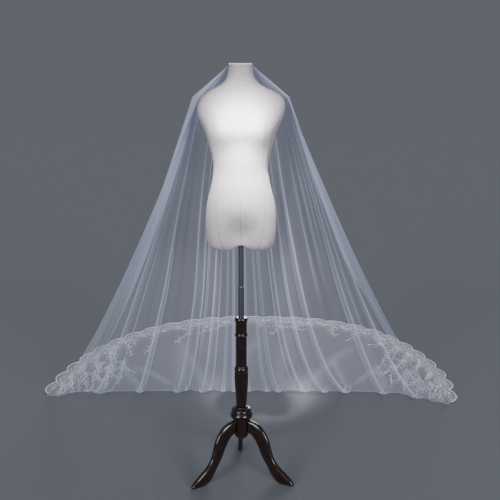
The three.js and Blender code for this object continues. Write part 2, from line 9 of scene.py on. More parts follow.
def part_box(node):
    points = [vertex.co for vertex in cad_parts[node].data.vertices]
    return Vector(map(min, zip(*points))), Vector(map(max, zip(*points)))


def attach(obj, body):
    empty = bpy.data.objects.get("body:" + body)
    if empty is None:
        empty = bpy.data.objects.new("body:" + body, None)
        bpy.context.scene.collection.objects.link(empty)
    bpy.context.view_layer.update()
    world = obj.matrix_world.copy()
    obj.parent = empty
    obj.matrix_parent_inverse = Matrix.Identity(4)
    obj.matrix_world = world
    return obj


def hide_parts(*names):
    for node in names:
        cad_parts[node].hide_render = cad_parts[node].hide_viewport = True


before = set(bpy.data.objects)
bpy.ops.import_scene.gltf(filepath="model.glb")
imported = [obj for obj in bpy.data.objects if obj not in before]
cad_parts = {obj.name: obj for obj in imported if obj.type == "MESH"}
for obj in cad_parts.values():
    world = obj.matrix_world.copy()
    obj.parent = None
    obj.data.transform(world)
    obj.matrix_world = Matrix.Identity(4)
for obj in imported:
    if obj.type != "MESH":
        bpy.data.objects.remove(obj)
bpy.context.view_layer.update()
bpy.ops.object.select_all(action="DESELECT")


# Turned hub of the tripod. It is a hardwood turning with a rounded drop below, a plain barrel that the
# legs are screwed to and a double collar above, stained dark red-brown and polished.
def colour(code):
    """An sRGB hex colour as linear RGBA."""
    parts = [int(code[i : i + 2], 16) / 255 for i in (1, 3, 5)]
    return [p / 12.92 if p <= 0.04045 else ((p + 0.055) / 1.055) ** 2.4 for p in parts] + [1.0]


def add_node(material, kind, settings, inputs, feeds=None):
    """Adds a shader node with its settings and links. An input is a value or another node's output.

    The setting "stops" holds a ramp's (place, colour) pairs, and feeds is (output, socket) to link on to.
    """
    made = material.node_tree.nodes.new(kind)
    for name, value in settings.items():
        if name != "stops":
            setattr(made, name, value)
    for k, (place, shade) in enumerate(settings.get("stops", [])):
        elements = made.color_ramp.elements
        element = elements[k] if k < 2 else elements.new(place)
        element.position = place
        element.color = shade
    for name, value in inputs.items():
        if isinstance(value, bpy.types.NodeSocket):
            material.node_tree.links.new(value, made.inputs[name])
        else:
            made.inputs[name].default_value = value
    if feeds:
        material.node_tree.links.new(made.outputs[feeds[0]], feeds[1])
    return made


def new_material(name):
    """An empty node material and the shader node it will use."""
    made = bpy.data.materials.new(name)
    made.use_nodes = True
    shader = made.node_tree.nodes["Principled BSDF"]
    return made, shader


# Polished mahogany: closed red-brown grain that runs up the wood, darkened by the stain, under a clear
# hard lacquer. The grain lines are about 3 mm apart and show only as a slow change of shade.
mahogany, shader = new_material("polished_dark_mahogany")
place = add_node(mahogany, "ShaderNodeTexCoord", {}, {})
along = add_node(
    mahogany, "ShaderNodeMapping", {}, {"Vector": place.outputs["Object"], "Scale": (330, 330, 14)}
)
grain = add_node(
    mahogany, "ShaderNodeTexNoise", {}, {"Vector": along.outputs["Vector"], "Scale": 1, "Detail": 4}
)
add_node(
    mahogany,
    "ShaderNodeValToRGB",
    {"stops": [(0.3, colour("#100605")), (0.55, colour("#1e0c09")), (0.75, colour("#33140d"))]},
    {"Fac": grain.outputs["Fac"]},
    ("Color", shader.inputs["Base Color"]),
)
smears = add_node(
    mahogany, "ShaderNodeTexNoise", {}, {"Vector": place.outputs["Object"], "Scale": 35, "Detail": 2}
)
add_node(
    mahogany,
    "ShaderNodeMapRange",
    {},
    {"Value": smears.outputs["Fac"], "From Min": 0.3, "From Max": 0.7, "To Min": 0.16, "To Max": 0.3},
    ("Result", shader.inputs["Roughness"]),
)
shader.inputs["Coat Weight"].default_value = 0.7
shader.inputs["Coat Roughness"].default_value = 0.06

hub_low, hub_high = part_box("stand_hub")
POST = Vector(((hub_low[0] + hub_high[0]) / 2, (hub_low[1] + hub_high[1]) / 2, 0))


def pick(piece):
    """Makes a piece the only one that the operators act on."""
    bpy.ops.object.select_all(action="DESELECT")
    piece.select_set(True)
    bpy.context.view_layer.objects.active = piece


def new_piece(name, points, edges, faces):
    """A new object from points in metres, picked alone."""
    mesh = bpy.data.meshes.new(name)
    mesh.from_pydata(points, edges, faces)
    made = bpy.data.objects.new(name, mesh)
    bpy.context.collection.objects.link(made)
    pick(made)
    return made


def turn(name, profile, material):
    """Turns a profile of (radius, height) pairs, in mm, about the post's axis."""
    points = [(POST.x + radius / 1000, POST.y, height / 1000) for radius, height in profile]
    made = new_piece(name, points, [(i, i + 1) for i in range(len(points) - 1)], [])
    bpy.ops.object.mode_set(mode="EDIT")
    bpy.ops.mesh.select_all(action="SELECT")
    bpy.ops.mesh.spin(steps=32, angle=2 * math.pi, center=POST, axis=(0, 0, 1))
    bpy.ops.mesh.select_all(action="SELECT")
    bpy.ops.mesh.remove_doubles(threshold=1e-5)
    bpy.ops.mesh.normals_make_consistent(inside=False)
    bpy.ops.object.mode_set(mode="OBJECT")
    round_off = made.modifiers.new("rounded", "SUBSURF")
    round_off.levels = round_off.render_levels = 2
    bpy.ops.object.modifier_apply(modifier=round_off.name)
    bpy.ops.object.shade_smooth()
    made.data.materials.append(material)
    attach(made, "root")
    return made


HUB_PROFILE = [
    (0, 166),
    (8, 166),
    (19, 168),
    (28, 176),
    (33, 187),
    (34, 200),
    (34, 258),
    (34.5, 263),
    (41, 264),
    (47.5, 268),
    (49.6, 276),
    (48.5, 284),
    (44.5, 290),
    (42.4, 292),
    (42.8, 294),
    (44.2, 299),
    (42, 305),
    (36, 309),
    (29.5, 311),
    (27.5, 313),
    (26, 318),
    (12, 318),
    (0, 318),
]
hub = turn("turned_hub", HUB_PROFILE, mahogany)
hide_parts("stand_hub")


# Three bowed legs, sawn from board, rounded over and screwed to the hub. Each swells over a knee, thins
# to an ankle and ends in a flat-soled toe.
LEG_THICK = 26
# A row for each station, from the hub to the toe: upper edge out and up, lower edge out and up, thickness.
LEG_STATIONS = [
    (34.8, 258, 34.8, 203, 1.00),
    (66, 252, 58, 187, 1.00),
    (100, 232, 74, 165, 1.00),
    (129, 188, 90, 132, 1.00),
    (143, 140, 104, 101, 0.98),
    (157, 101, 127, 66, 0.96),
    (180, 73, 142, 39, 0.95),
    (206, 52, 160, 14, 0.95),
    (232, 31, 185, 0.5, 0.92),
    (246, 14, 222, 0.3, 0.80),
    (251.5, 6, 246, 0.3, 0.45),
]
LEG_STEPS = 5
LEG_RING = 20


def spline(rows, steps):
    """Points on a smooth line through the rows, with the given number of steps between neighbours."""
    rows = np.array(rows, float)
    before = np.vstack([2 * rows[0] - rows[1], rows, 2 * rows[-1] - rows[-2]])
    t = np.linspace(0, 1, steps, endpoint=False)[:, None]
    runs = []
    for a, b, c, d in zip(before, before[1:], before[2:], before[3:]):
        bow = 2 * a - 5 * b + 4 * c - d
        swing = 3 * b - a - 3 * c + d
        runs.append(0.5 * (2 * b + (c - a) * t + bow * t**2 + swing * t**3))
    return np.vstack([*runs, rows[-1:]])


def lofted(name, rings):
    """A closed skin over rings of points, with a face over each end."""
    count = len(rings[0])
    faces = []
    for r in range(len(rings) - 1):
        for k in range(count):
            n = (k + 1) % count
            faces.append((r * count + k, r * count + n, (r + 1) * count + n, (r + 1) * count + k))
    faces.append(tuple(range(count))[::-1])
    faces.append(tuple((len(rings) - 1) * count + k for k in range(count)))
    made = new_piece(name, np.vstack(rings).tolist(), [], faces)
    bpy.ops.object.mode_set(mode="EDIT")
    bpy.ops.mesh.select_all(action="SELECT")
    bpy.ops.mesh.normals_make_consistent(inside=False)
    bpy.ops.object.mode_set(mode="OBJECT")
    bpy.ops.object.shade_smooth()
    return made


for node, direction in (("leg_rear", 93), ("leg_left", 213), ("leg_right", 333)):
    outwards = Vector((math.cos(math.radians(direction)), math.sin(math.radians(direction)), 0))
    sideways = Vector((-outwards.y, outwards.x, 0))
    rings = []
    for out_up, up_up, out_low, up_low, share in spline(LEG_STATIONS, LEG_STEPS):
        upper = np.array(POST + outwards * (out_up / 1000)) + (0, 0, up_up / 1000)
        lower = np.array(POST + outwards * (out_low / 1000)) + (0, 0, up_low / 1000)
        turn_round = np.linspace(0, 2 * np.pi, LEG_RING, endpoint=False)
        high = np.sign(np.cos(turn_round)) * np.abs(np.cos(turn_round)) ** 0.6
        wide = np.sign(np.sin(turn_round)) * np.abs(np.sin(turn_round)) ** 0.6
        middle = (upper + lower) / 2
        ring = middle + high[:, None] * (upper - lower) / 2
        ring = ring + wide[:, None] * np.array(sideways) * share * LEG_THICK / 2000
        ring[:, 2] = np.maximum(ring[:, 2], 0)
        rings.append(ring)
    leg = lofted("bowed_" + node, rings)
    leg.data.materials.append(mahogany)
    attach(leg, "root")
    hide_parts(node)


# Turned spindle above the hub: a long vase with a bead over it, two plain lengths and a cap ring that
# the steel tube stands in. Same wood and polish as the hub.
SPINDLE_PROFILE = [
    (0, 318.4),
    (14, 318.4),
    (23, 318.6),
    (23.2, 324),
    (23.6, 336),
    (25.2, 366),
    (29.2, 412),
    (30.9, 452),
    (30.2, 472),
    (29, 478),
    (28.8, 480),
    (30.8, 484),
    (31, 490),
    (29, 495),
    (25, 498),
    (24.2, 501),
    (24.2, 520),
    (24.2, 615),
    (24.2, 632),
    (24.6, 634),
    (28, 637),
    (28, 643),
    (24.8, 646),
    (24.4, 649),
    (24.4, 690),
    (24.6, 697),
    (28, 701),
    (28.2, 711),
    (25.5, 716),
    (22, 717),
    (12.8, 717),
    (0, 717),
]
spindle = turn("turned_spindle", SPINDLE_PROFILE, mahogany)
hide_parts("stand_spindle")


# Telescopic rod of two drawn steel tubes, the upper sliding in the lower, both bright plated. The
# lower one has a rolled lip where the upper one goes in.
plated_steel, shader = new_material("bright_plated_steel_tube")
place = add_node(plated_steel, "ShaderNodeTexCoord", {}, {})
drawn = add_node(
    plated_steel, "ShaderNodeMapping", {}, {"Vector": place.outputs["Object"], "Scale": (500, 500, 6)}
)
lines = add_node(
    plated_steel, "ShaderNodeTexNoise", {}, {"Vector": drawn.outputs["Vector"], "Scale": 1, "Detail": 2}
)
add_node(
    plated_steel,
    "ShaderNodeMapRange",
    {},
    {"Value": lines.outputs["Fac"], "From Min": 0.3, "From Max": 0.7, "To Min": 0.20, "To Max": 0.32},
    ("Result", shader.inputs["Roughness"]),
)
shader.inputs["Base Color"].default_value = colour("#94969d")
shader.inputs["Metallic"].default_value = 1.0

ROD_LOWER = [
    (0, 717.4),
    (10, 717.4),
    (12.2, 717.5),
    (12.5, 718.5),
    (12.5, 730),
    (12.5, 842),
    (12.5, 846),
    (13.3, 847.5),
    (13.3, 850.5),
    (12.6, 852),
    (11.6, 852.1),
    (0, 852.1),
]
ROD_UPPER = [
    (0, 852.4),
    (11, 852.4),
    (11.5, 853),
    (11.5, 870),
    (11.5, 1020),
    (11.5, 1034.8),
    (10, 1035.5),
    (0, 1035.5),
]
RODS = (("rod_tube_lower", "rod_lower", ROD_LOWER), ("rod_tube_upper", "rod_upper", ROD_UPPER))
for name, node, profile in RODS:
    tube = turn(name, profile, plated_steel)
    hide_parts(node)


# The dress form: a padded shell covered in off-white linen, cut in panels that meet at seams down the
# front, the sides and the back. The cover is a smoothed copy of the solid.
linen, shader = new_material("off_white_linen_cover")
# Plain weave. Real threads are about 0.6 mm apart; they are drawn 2.5 mm apart so that they show.
THREAD_MM = 2.5
place = add_node(linen, "ShaderNodeTexCoord", {}, {})
threads = []
for direction in ("X", "Z"):
    wobble = {"Vector": place.outputs["Object"], "Scale": 2 * math.pi / 20 / (THREAD_MM / 1000)}
    wobble.update({"Distortion": 1.2, "Detail": 2, "Detail Scale": 1.5})
    threads.append(add_node(linen, "ShaderNodeTexWave", {"bands_direction": direction}, wobble))
weave = add_node(
    linen,
    "ShaderNodeMath",
    {"operation": "MULTIPLY"},
    {0: threads[0].outputs["Fac"], 1: threads[1].outputs["Fac"]},
)
slubs = add_node(
    linen, "ShaderNodeTexNoise", {}, {"Vector": place.outputs["Object"], "Scale": 260, "Detail": 5}
)
add_node(
    linen,
    "ShaderNodeValToRGB",
    {"stops": [(0.32, colour("#aaa4a8")), (0.5, colour("#c4bec2")), (0.7, colour("#dad4d8"))]},
    {"Fac": slubs.outputs["Fac"]},
    ("Color", shader.inputs["Base Color"]),
)
relief = add_node(
    linen, "ShaderNodeMath", {"operation": "ADD"}, {0: weave.outputs["Value"], 1: slubs.outputs["Fac"]}
)
add_node(
    linen,
    "ShaderNodeBump",
    {},
    {"Height": relief.outputs["Value"], "Strength": 0.25, "Distance": 0.0006},
    ("Normal", shader.inputs["Normal"]),
)
shader.inputs["Roughness"].default_value = 0.85
shader.inputs["Sheen Weight"].default_value = 0.15
shader.inputs["Sheen Roughness"].default_value = 0.5

form_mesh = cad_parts["dress_form"].data.copy()
form_mesh.materials.clear()
form = bpy.data.objects.new("dress_form_cover", form_mesh)
bpy.context.collection.objects.link(form)
pick(form)
bpy.ops.object.mode_set(mode="EDIT")
bpy.ops.mesh.select_all(action="SELECT")
bpy.ops.mesh.remove_doubles(threshold=1e-5)
bpy.ops.mesh.tris_convert_to_quads(face_threshold=1.2, shape_threshold=1.2)
bpy.ops.object.mode_set(mode="OBJECT")
padding = form.modifiers.new("padded", "SUBSURF")
padding.levels = padding.render_levels = 2
bpy.ops.object.modifier_apply(modifier=padding.name)
bpy.ops.object.shade_smooth()
# The padding is firmest over the bust and the belly, so the cover is drawn in below them. Each row, in mm:
# where the dip starts, how far down it deepens, where it starts to come back and over how far, half its
# width, and its depth. Its middle is level, and it fades out towards the sides of the form.
DIPS = [(1494, 58, 1430, 80, 170, 9), (1196, 130, 950, 70, 128, 24)]
DIP_LEVEL_HALF = 24
DIP_FRONT_FROM = 20
DIP_FRONT_OVER = 60


def smooth(x):
    x = np.clip(x, 0, 1)
    return x * x * (3 - 2 * x)


spots = np.zeros(3 * len(form.data.vertices))
form.data.vertices.foreach_get("co", spots)
spots = spots.reshape(-1, 3)
off_post = (spots - np.array(POST)) * 1000
for start, deepens, back, returns, half_width, depth in DIPS:
    sunk = smooth((start - off_post[:, 2]) / deepens)
    risen = smooth((back - off_post[:, 2]) / returns)
    aside = np.abs(off_post[:, 0]) - DIP_LEVEL_HALF
    aside = np.clip(aside / (half_width - DIP_LEVEL_HALF), 0, 1)
    fronted = smooth((-off_post[:, 1] - DIP_FRONT_FROM) / DIP_FRONT_OVER)
    dip = depth * (sunk - risen) * (0.5 + 0.5 * np.cos(np.pi * aside)) * fronted
    spots[:, 1] += dip / 1000
form.data.vertices.foreach_set("co", spots.reshape(-1))
form.data.update()
form.data.materials.append(linen)
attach(form, "root")
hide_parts("dress_form")

# Panel seams of the cover, each a narrow welt pressed flat, where two panels are sewn edge to edge. Their
# linen is painted darker than the cover's, as painted shade along each seam.
seam_linen_painted_shade, shader = new_material("pressed_linen_seam_painted_shade")
place = add_node(seam_linen_painted_shade, "ShaderNodeTexCoord", {}, {})
stitches = add_node(
    seam_linen_painted_shade, "ShaderNodeTexNoise", {}, {"Vector": place.outputs["Object"], "Scale": 600}
)
# Both tones are darker than the cover's linen: painted shade of the seam line, varied by the stitch noise.
add_node(
    seam_linen_painted_shade,
    "ShaderNodeValToRGB",
    {"stops": [(0.3, colour("#8e888c")), (0.7, colour("#aaa4a8"))]},
    {"Fac": stitches.outputs["Fac"]},
    ("Color", shader.inputs["Base Color"]),
)
shader.inputs["Roughness"].default_value = 0.9


def tube_rings(path, radius, sides):
    """Points and faces of a closed tube round a path of points, in metres."""
    path = np.array(path, float)
    ahead = np.gradient(path, axis=0)
    ahead /= np.linalg.norm(ahead, axis=1)[:, None]
    helper = np.where(np.abs(ahead[:, 2:3]) > 0.8, np.array([[1.0, 0, 0]]), np.array([[0, 0, 1.0]]))
    first = np.cross(helper, ahead)
    first /= np.linalg.norm(first, axis=1)[:, None]
    second = np.cross(ahead, first)
    angle = np.linspace(0, 2 * np.pi, sides, endpoint=False)
    spread = first[:, None] * np.cos(angle)[None, :, None] + second[:, None] * np.sin(angle)[None, :, None]
    points = (path[:, None] + spread * np.reshape(radius, (-1, 1, 1))).reshape(-1, 3)
    faces = []
    for r in range(len(path) - 1):
        for k in range(sides):
            n = (k + 1) % sides
            faces.append((r * sides + k, r * sides + n, (r + 1) * sides + n, (r + 1) * sides + k))
    faces.append(tuple(range(sides))[::-1])
    faces.append(tuple((len(path) - 1) * sides + k for k in range(sides)))
    return points, faces


def joined_mesh(name, pieces, material):
    """One object from many small pieces, each given as points and faces."""
    points = []
    faces = []
    start = 0
    for piece_points, piece_faces in pieces:
        points.append(piece_points)
        faces.extend([tuple(start + i for i in face) for face in piece_faces])
        start += len(piece_points)
    made = new_piece(name, np.vstack(points).tolist(), [], faces)
    bpy.ops.object.shade_smooth()
    made.data.materials.append(material)
    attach(made, "root")
    return made


# A row for each height, in mm: how far out the two panel seams lie, in front and behind.
SEAM_LINES = [
    (1560, 104, 88),
    (1500, 94, 80),
    (1420, 88, 70),
    (1334, 86, 62),
    (1250, 92, 66),
    (1172, 95, 74),
    (1090, 88, 76),
    (1040, 76, 72),
    (1016, 64, 66),
]
# The middle seams stop short of the fork, and the front one starts at the belly.
MIDDLE_SEAM_END = 1046
FRONT_SEAM_START = 1230
SIDE_SEAM_START = 1580
SIDE_SEAM_END = 1030
surface = BVHTree.FromObject(form, bpy.context.evaluated_depsgraph_get())
seam_paths = []
seam_rows = spline(SEAM_LINES, 8)
for across, facing in ((0, -1), (1, -1), (-1, -1), (0, 1), (1, 1), (-1, 1)):
    path = []
    for height, front, back in seam_rows:
        too_high = facing < 0 and height > FRONT_SEAM_START
        if across == 0 and (height < MIDDLE_SEAM_END or too_high):
            continue
        x = POST.x + across * (front if facing < 0 else back) / 1000
        start = Vector((x, POST.y + facing, height / 1000))
        hit = surface.ray_cast(start, Vector((0, -facing, 0)))[0]
        if hit is not None:
            path.append(hit)
    seam_paths.append(path)
for side in (-1, 1):
    path = []
    for height in np.linspace(SIDE_SEAM_START, SIDE_SEAM_END, 60):
        start = Vector((POST.x + side, POST.y, height / 1000))
        hit = surface.ray_cast(start, Vector((-side, 0, 0)))[0]
        if hit is not None:
            path.append(hit)
    seam_paths.append(path)
SEAM_MM = 0.9
seams = joined_mesh(
    "dress_form_seams", [tube_rings(path, SEAM_MM / 1000, 6) for path in seam_paths], seam_linen_painted_shade
)


# The veil: one panel of soft tulle, gathered tight at the head, that spans from the neck to the shoulder
# tips, slopes back to the floor in long folds and lies behind as a round train with a cut edge.
# Lengths here are in mm from the post's axis; a share runs across the spread, -1 left to 1 right.
HEAD_HALF = 44
HEAD_BACK = 2
NECK_TOP = 1741
SHOULDER_HALF = 193
SHOULDER_HEIGHT = 1624
BACK_HEIGHT = 1560
BACK_DEPTH = 104
BACK_CLEAR = 16
WRAP_START = 0.88
WRAP_FORWARD = (72, 52)
WRAP_INWARD = (30, 12)
SAG = 1.3
LANDING = (1112, 1129)
LANDING_DEPTH = 865
CORNER_FORWARD = (66, 178)
HEM_DEPTH = 2243
HEM_HALF = (1108, 1205)
HEM_ROUND = (2.1, 2.8)
HEM_TUCK = (0, 65)
TUCK_SPAN = 0.3
CORNER_EDGE = 30
CLOTH_LIFT = 0.8

# Each long fold: where it lands, its half width, how far it stands to the front in mm, and its reach.
FOLDS = [
    (-0.945, 0.045, 22, 1),
    (-0.850, 0.045, -18, 1),
    (-0.735, 0.050, 27, 1),
    (-0.605, 0.030, -12, 0.8),
    (-0.535, 0.032, 26, 1),
    (-0.430, 0.036, -16, 0.9),
    (-0.340, 0.034, 26, 1),
    (-0.275, 0.026, -20, 1),
    (-0.212, 0.030, 24, 1),
    (-0.152, 0.024, -16, 1),
    (-0.102, 0.022, 18, 1),
    (-0.052, 0.022, 16, 1),
    (0.022, 0.022, 16, 1),
    (0.072, 0.022, -16, 1),
    (0.122, 0.024, 18, 1),
    (0.178, 0.026, 22, 1),
    (0.248, 0.030, -18, 1),
    (0.312, 0.028, 24, 1),
    (0.412, 0.034, 26, 1),
    (0.520, 0.034, 26, 1),
    (0.605, 0.032, -14, 0.8),
    (0.708, 0.034, 24, 1),
    (0.780, 0.030, -16, 1),
    (0.868, 0.042, 26, 1),
    (0.950, 0.036, 18, 1),
]

# How the folds lean as they rise: a share at the floor, and where it stands half way up and at the top.
LEANS = [
    (-1, -1, -1),
    (-0.880, -0.880, -0.88),
    (-0.735, -0.775, -0.75),
    (-0.535, -0.565, -0.62),
    (-0.340, -0.325, -0.38),
    (-0.212, -0.185, -0.19),
    (-0.052, -0.062, -0.08),
    (0.022, 0.020, 0.02),
    (0.178, 0.125, 0.10),
    (0.312, 0.225, 0.20),
    (0.412, 0.315, 0.30),
    (0.520, 0.405, 0.38),
    (0.708, 0.735, 0.77),
    (0.880, 0.880, 0.88),
    (1, 1, 1),
]

# Pleats in which the net lies double: from and to, as shares at the floor, how many layers more, how
# strong its two folded edges show, and the share of the fall after which it has opened out.
PLEATS = [
    (-0.768, -0.692, 0.7, 3.2, 2.4, 1.3),
    (-0.550, -0.524, 1.0, 3.6, 3.0, 1.3),
    (-0.352, -0.296, 0.8, 2.6, 3.4, 1.3),
    (-0.276, -0.264, 0.3, 1.6, 1.2, 0.8),
    (-0.224, -0.172, 0.8, 3.2, 2.2, 1.3),
    (-0.112, -0.098, 0.6, 2.2, 1.8, 1.3),
    (-0.058, -0.046, 0.6, 1.8, 2.4, 1.3),
    (0.016, 0.030, 0.6, 2.0, 1.6, 1.3),
    (0.112, 0.128, 0.6, 2.2, 1.4, 1.3),
    (0.166, 0.190, 0.8, 2.6, 2.2, 1.3),
    (0.286, 0.326, 0.8, 3.0, 2.4, 1.3),
    (0.402, 0.422, 0.9, 2.8, 2.2, 1.3),
    (0.506, 0.534, 1.1, 3.8, 3.2, 1.3),
    (0.598, 0.606, 0.4, 1.8, 0.8, 0.55),
    (0.638, 0.647, 0.4, 1.4, 1.2, 0.50),
    (0.668, 0.674, 0.4, 1.2, 0.8, 0.45),
    (0.696, 0.724, 0.9, 3.0, 2.4, 1.3),
    (0.772, 0.788, 0.5, 1.6, 1.2, 0.75),
    (0.850, 0.886, 0.8, 2.6, 2.8, 1.3),
]


def by_side(share, pair):
    return np.where(share < 0, pair[0], pair[1])


def bunched(share):
    return np.sign(share) * (1 - (1 - np.abs(share)) ** 2)


def leaned(share, way):
    """Where a fold that lands at a share stands on the slope, at a share of the way down."""
    floor_share, half_share, top_share = np.array(LEANS).T
    half = np.interp(share, floor_share, half_share)
    top = np.interp(share, floor_share, top_share)
    risen = 1 - max(0, (way - 0.4) / 0.6) ** 1.6
    return share + (half - share) * risen + (top - half) * (1 - smooth((way - 0.1) / 0.4))


def hang_line(share):
    """Where the cloth leaves the form, from one shoulder tip round the back to the other."""
    across = np.abs(bunched(share))
    wrapped = smooth((np.abs(share) - WRAP_START) / (1 - WRAP_START))
    inward = by_side(share, WRAP_INWARD)
    forward = by_side(share, WRAP_FORWARD) * wrapped
    x = SHOULDER_HALF * bunched(share) - np.sign(share) * inward * wrapped**2
    y = BACK_CLEAR + BACK_DEPTH * np.maximum(0, 1 - across**2.2) ** (1 / 2.2) - forward
    z = BACK_HEIGHT + (SHOULDER_HEIGHT - BACK_HEIGHT) * across**3 - 0.4 * inward * wrapped
    return np.stack([x, y, z], -1)


def landing_line(share):
    """Where the falling cloth meets the floor."""
    x = by_side(share, LANDING) * share
    y = LANDING_DEPTH - by_side(share, CORNER_FORWARD) * np.abs(share) ** 6
    return np.stack([x, y, 0 * x + CLOTH_LIFT], -1)


def hem_line(share):
    """The cut edge behind: two rounded quarters that meet at the middle of the back."""
    power = 2 / by_side(share, HEM_ROUND)
    turn_round = np.abs(share) * np.pi / 2
    start = LANDING_DEPTH - by_side(share, CORNER_FORWARD) + CORNER_EDGE
    back = np.maximum(0, np.cos(turn_round)) ** power
    tuck = by_side(share, HEM_TUCK) * np.maximum(0, 1 - back / TUCK_SPAN) ** 2
    x = np.sign(share) * (by_side(share, HEM_HALF) * np.sin(turn_round) ** power - tuck)
    return np.stack([x, start + (HEM_DEPTH - start) * back, 0 * x + CLOTH_LIFT], -1)


def neck_arc(share, radius, height):
    turn_round = np.pi / 2 * (0.5 * share + 0.5 * bunched(share))
    x = radius * np.sin(turn_round)
    return np.stack([x, HEAD_BACK + radius * np.cos(turn_round), 0 * share + height], -1)


def fold_push(share, way):
    """How far the long folds push the cloth to the front."""
    total = 0 * share
    for at, width, depth, reach in FOLDS:
        fade = 1 - smooth((way - reach + 0.35) / 0.35) if reach < 1 else 1
        offset = np.clip(np.abs(share - at) / width, 0, 1)
        total = total + depth * fade * (0.5 + 0.5 * np.cos(np.pi * offset))
    return total


EDGE_LINE = 0.0036
EDGE_LINE_MM = (1.3, 3.8)


def fold_edge(off, spread):
    """A thin line where cloth is folded back: off in shares, spread in mm for a whole share."""
    thick = np.clip(EDGE_LINE * spread, *EDGE_LINE_MM)
    return np.exp(-((off * spread / thick) ** 2))


# How soft a pleat's sides are, in shares, and how much its doubled body and its two edge lines count.
PLEAT_SOFT = 0.0025
PLEAT_BODY = 1.2
PLEAT_LINES = 2.5


def pleat_layers(share, way, spread):
    """Layers of net that the pleats add, with their folded edges."""
    total = 0 * share
    for start, end, layers, first, second, opened in PLEATS:
        fade = 1 - smooth((way - opened + 0.25) / 0.25)
        slow = 0.85 + 0.15 * np.sin(7 * way + 40 * start)
        inside = smooth((share - start) / PLEAT_SOFT + 0.5) * smooth((end - share) / PLEAT_SOFT + 0.5)
        lines = first * fold_edge(share - start, spread) + second * fold_edge(share - end, spread)
        total = total + fade * slow * (PLEAT_BODY * layers * inside + PLEAT_LINES * lines)
    return total


def edge_layers(share, way, spread):
    """Layers that the two side edges add, where the cloth is turned back on itself."""
    # The strip that is turned back is wide at the shoulders and narrows to the floor.
    left = 0.70 + 0.22 * way**0.75
    right = 0.77 + 0.215 * min(1, way / 0.66) ** 1.2
    inner = by_side(share, (left, right))
    off = np.abs(share) - inner
    inside = smooth(off * 220)
    middle = fold_edge(off - 0.55 * (1 - inner), spread)
    # It lies in many layers where it is bunched at the shoulders, and in one or two below.
    turned_back = 0.6 + 1.0 * (1 - smooth((way - 0.5) / 0.5)) + 10.0 * (1 - smooth(way / 0.62))
    total = turned_back * inside + 3.8 * fold_edge(off, spread) + 2.2 * middle
    return total + 7.0 * fold_edge(np.abs(share) - 1, spread)


def fine_gathers(share):
    """The small pleats of the gathered head, uneven, as wide as a finger at the shoulders."""
    first = np.sin(2 * np.pi * (41.3 * share + 0.13 + 0.8 * np.sin(5 * share)))
    second = np.sin(2 * np.pi * (67.7 * share + 0.41 + 0.5 * np.sin(9 * share + 1)))
    return 0.6 * first + 0.4 * second


def front_of(points):
    """The level direction to the front, square to a section of the cloth."""
    run = np.gradient(points, axis=0)
    front = np.stack([run[:, 1], -run[:, 0], 0 * run[:, 0]], -1)
    return front / np.linalg.norm(front, axis=1)[:, None]


# Flat width of the panel in metres, how much one layer of the net hides, and the layers that a bend adds
# where the cloth turns along the floor.
FLAT_WIDTH = 2.5
ONE_LAYER = 0.125
FLOOR_BEND = 1.3
TULLE_COLUMNS = 640
BESIDE_EDGE = 0.002


def hidden(layers):
    """The share of light that layers of the net hold back."""
    return 1 - (1 - ONE_LAYER) ** layers


pleat_edges = np.array([edge for row in PLEATS for edge in row[:2]])
near_edges = [pleat_edges + off for off in (-BESIDE_EDGE, 0, BESIDE_EDGE)]
share = np.concatenate([np.linspace(-1, 1, TULLE_COLUMNS + 1), *near_edges])
share = np.unique(np.round(share, 4))
landing = landing_line(share)
hem = hem_line(share)
top_share = leaned(share, 0)
head = np.stack([HEAD_HALF * top_share, 0 * share + HEAD_BACK + 0.3, 0 * share + NECK_TOP + 3.2], -1)
# The gathers bend over the rim of the neck.
RIM_RADIUS = 46
RIM_OVER = 2.4
SIDE_RADIUS = 53
SIDE_BELOW = 7
rim_top = neck_arc(top_share, RIM_RADIUS, NECK_TOP + RIM_OVER)
rim_side = neck_arc(top_share, SIDE_RADIUS, NECK_TOP - SIDE_BELOW)
hang = hang_line(top_share)
# Each section: its points, how far the folds have opened, how strong the gathers are, and the way down.
sections = []
for k in np.linspace(0, 1, 4, endpoint=False):
    sections.append((head + (rim_top - head) * k, 0.008 + 0.022 * k, 0.2 + 0.3 * k, 0.0))
for k in np.linspace(0, 1, 3, endpoint=False):
    sections.append((rim_top + (rim_side - rim_top) * k, 0.03 + 0.02 * k, 0.5 + 0.4 * k, 0.0))
for k in np.linspace(0, 1, 10, endpoint=False):
    sections.append((rim_side + (hang - rim_side) * k, 0.05 + 0.07 * k, 0.9 + 0.6 * k, 0.0))
for way in np.concatenate([np.linspace(0, 0.06, 5, endpoint=False), np.linspace(0.06, 1, 54)]):
    from_share = leaned(share, way)
    start = hang_line(from_share)
    end = landing_line(from_share)
    base = start + (end - start) * way
    base[:, 2] = end[:, 2] + (start[:, 2] - end[:, 2]) * (1 - way) ** SAG
    sections.append((base, 0.12 + 0.88 * way**0.8, 1.5 * (1 - smooth(way / 0.4)), way))

rows = []
cover = []
for base, folded, gathered, way in sections:
    small = gathered * fine_gathers(share) * smooth((1 - np.abs(share)) / 0.04)
    push = folded * fold_push(share, way) + small
    rows.append(base + front_of(base) * push[:, None])
    spread = np.linalg.norm(np.gradient(base, share, axis=0), axis=1)
    crowded = np.clip(FLAT_WIDTH * 500 / spread, 1, 7)
    opened = smooth(way / 0.12)
    plain = 1 + (0.75 - 0.64 * opened) * (crowded - 1)
    shown = 0.6 + 0.4 * smooth(way / 0.2)
    edges = (0.7 + 0.3 * opened) * edge_layers(share, way, spread)
    added = shown * pleat_layers(share, way, spread) + edges
    bend = FLOOR_BEND * np.exp(-(((1 - way) / 0.012) ** 2)) if way else 0
    layers = plain * (1 + 0.12 * gathered * fine_gathers(share)) + added + bend
    cover.append(hidden(layers))

